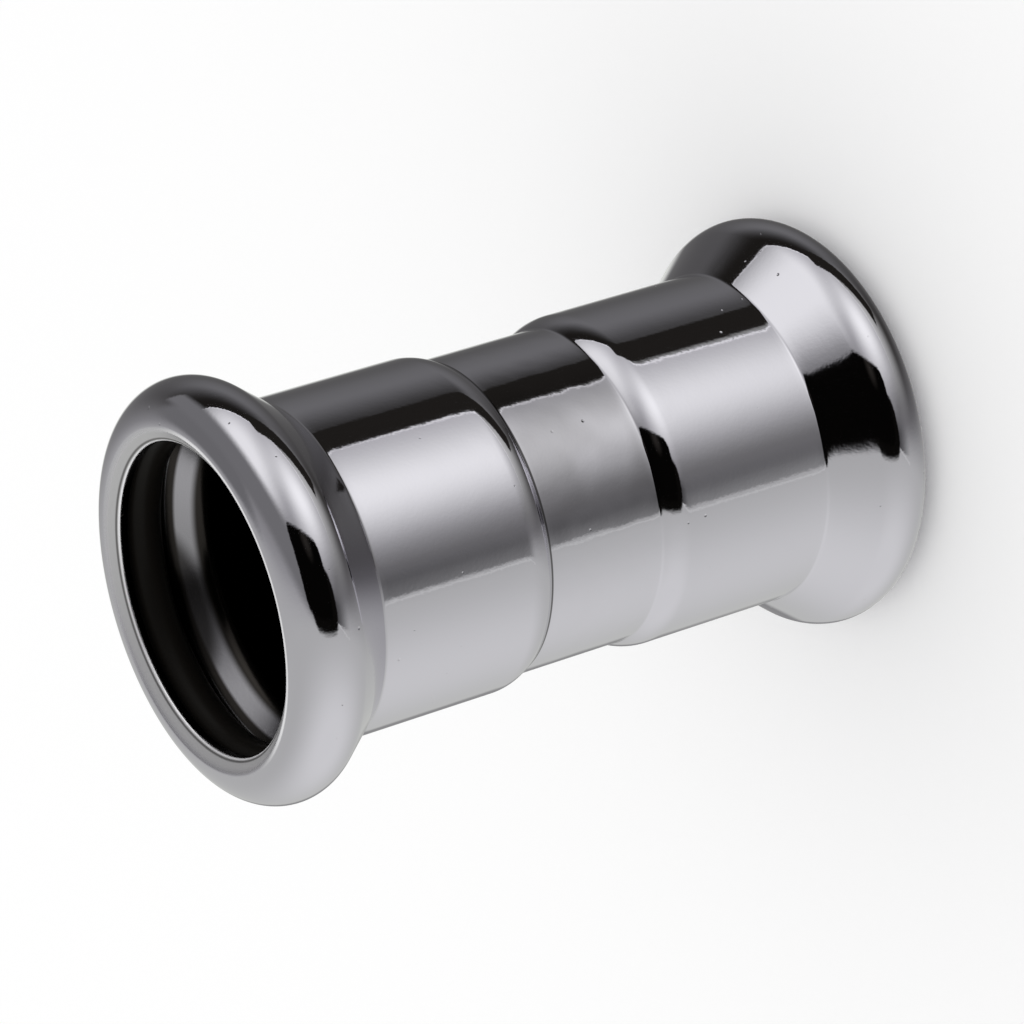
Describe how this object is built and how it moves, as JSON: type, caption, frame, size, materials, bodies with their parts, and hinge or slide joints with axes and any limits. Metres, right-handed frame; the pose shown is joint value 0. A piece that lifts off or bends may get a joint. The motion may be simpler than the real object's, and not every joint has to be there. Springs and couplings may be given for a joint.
{
  "type": "press fit fitting",
  "caption": "Straight press coupling: a metal tube with a rolled seal bead at each end, rubber seal rings inside and a narrower middle that stops the pipes.",
  "frame": {"origin": "centre of the fitting, on its axis", "axes": "+Z along the fitting's axis towards its upper mouth; the fitting stands on its lower bead"},
  "size_m": [0.032, 0.032, 0.0554],
  "materials": {
    "plated_steel": "bright zinc plating on formed carbon steel, with fine pits",
    "seal_rubber": "smooth moulded rubber, faint sheen"
  },
  "bodies": {
    "root": {"coupling_body": "plated_steel", "upper_seal_ring": "seal_rubber", "lower_seal_ring": "seal_rubber"}
  },
  "joints": []
}
